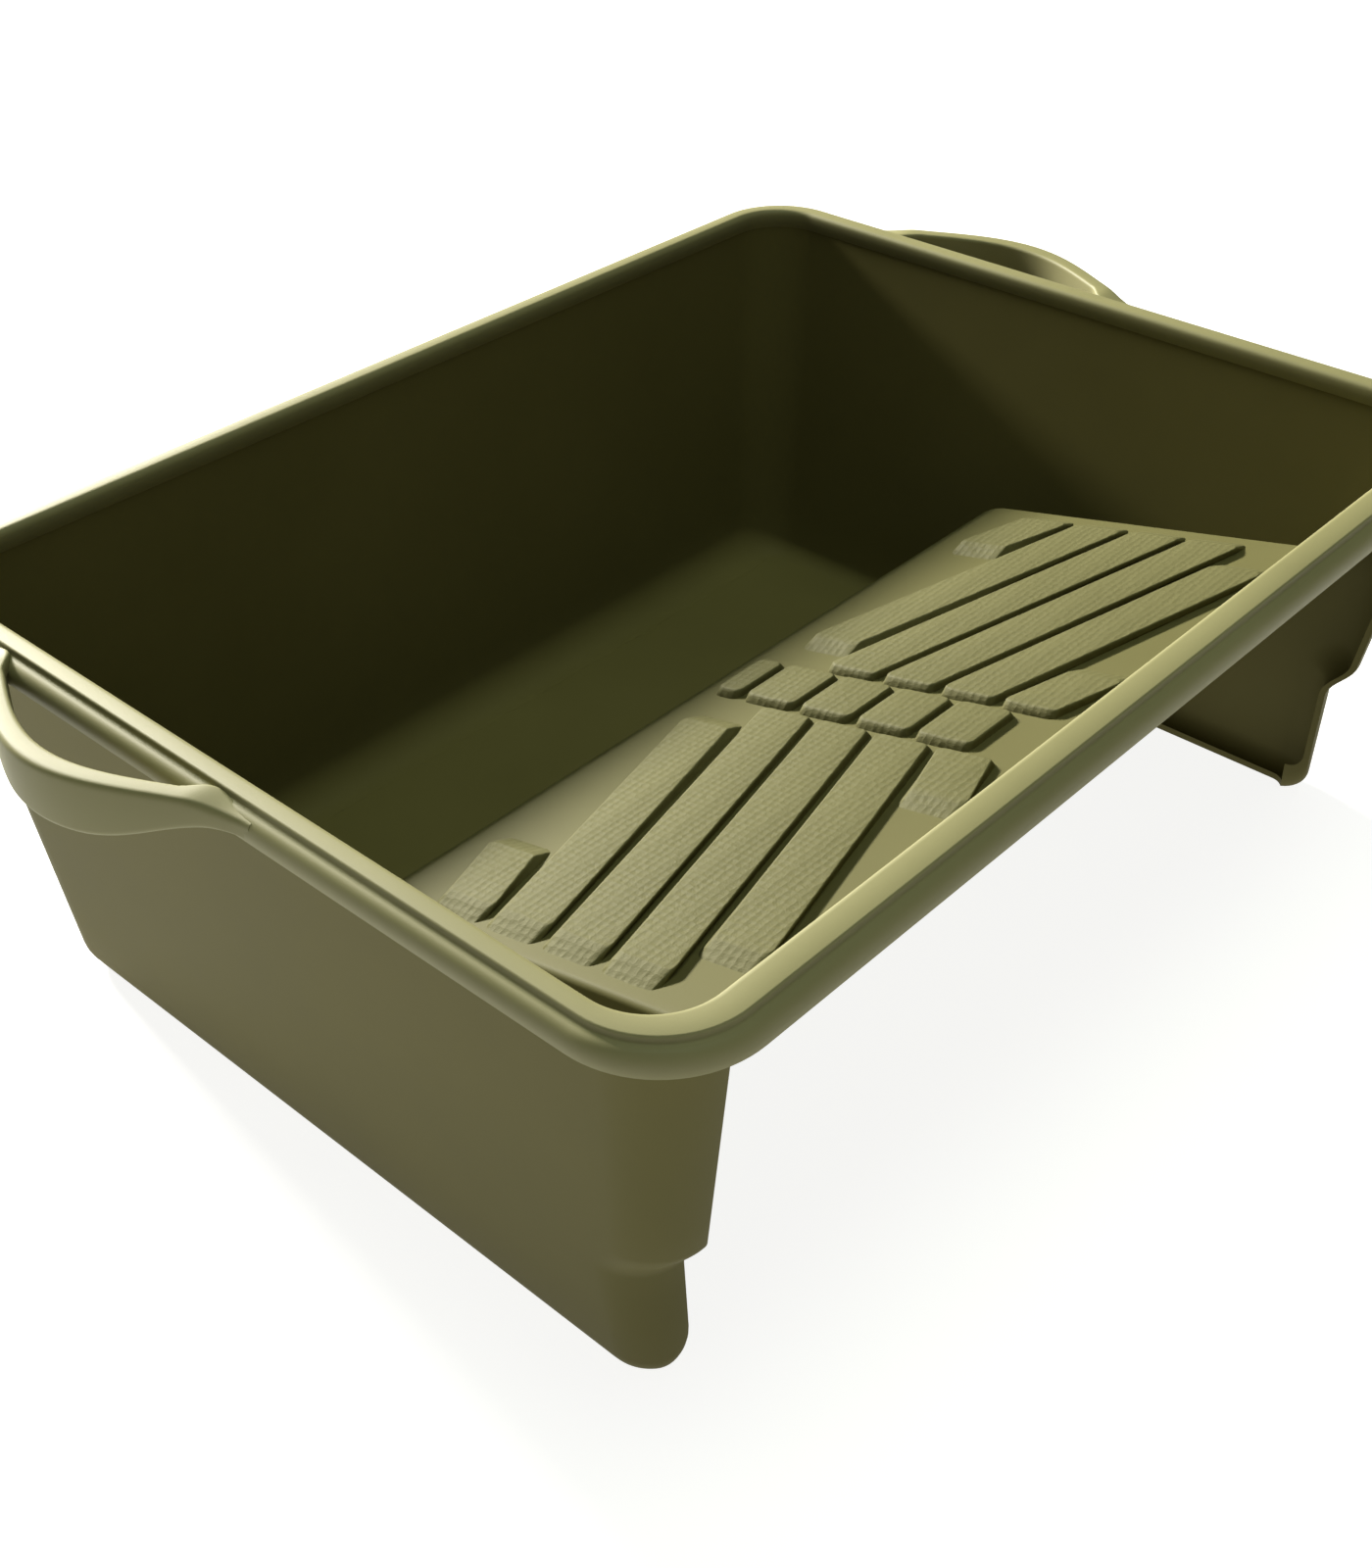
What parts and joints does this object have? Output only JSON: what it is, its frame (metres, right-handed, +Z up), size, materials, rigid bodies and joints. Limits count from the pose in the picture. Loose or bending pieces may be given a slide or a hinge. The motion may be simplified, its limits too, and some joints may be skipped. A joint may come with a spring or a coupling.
{
  "type": "paint roller tray",
  "caption": "Wide deep-well paint roller tray with a ribbed sloping ramp, corner legs, a stepped rim and a finger grip on each side.",
  "frame": {"origin": "middle of the footprint, on the ground", "axes": "+X along the wide side, towards the right grip with the ramp end facing the viewer; +Y from the ramp end to the well end; +Z up"},
  "size_m": [0.5916, 0.415, 0.197],
  "materials": {
    "tray_plastic": "satin moulded polypropylene, fine matte grain on the rib tops"
  },
  "bodies": {
    "root": {"back_left_corner": "tray_plastic", "back_right_corner": "tray_plastic", "back_wall": "tray_plastic", "front_left_leg": "tray_plastic", "front_right_leg": "tray_plastic", "front_wall": "tray_plastic", "left_grip": "tray_plastic", "left_trough": "tray_plastic", "left_wall": "tray_plastic", "ramp_deck": "tray_plastic", "rib_left_1": "tray_plastic", "rib_left_2": "tray_plastic", "rib_left_3": "tray_plastic", "rib_left_4": "tray_plastic", "rib_left_5": "tray_plastic", "rib_left_6": "tray_plastic", "rib_middle_1": "tray_plastic", "rib_middle_2": "tray_plastic", "rib_middle_3": "tray_plastic", "rib_middle_4": "tray_plastic", "rib_middle_5": "tray_plastic", "rib_right_1": "tray_plastic", "rib_right_2": "tray_plastic", "rib_right_3": "tray_plastic", "rib_right_4": "tray_plastic", "rib_right_5": "tray_plastic", "rib_right_6": "tray_plastic", "right_grip": "tray_plastic", "right_trough": "tray_plastic", "right_wall": "tray_plastic", "rim_back": "tray_plastic", "rim_front": "tray_plastic", "rim_left": "tray_plastic", "rim_right": "tray_plastic", "well_floor": "tray_plastic", "well_riser": "tray_plastic"}
  },
  "joints": []
}
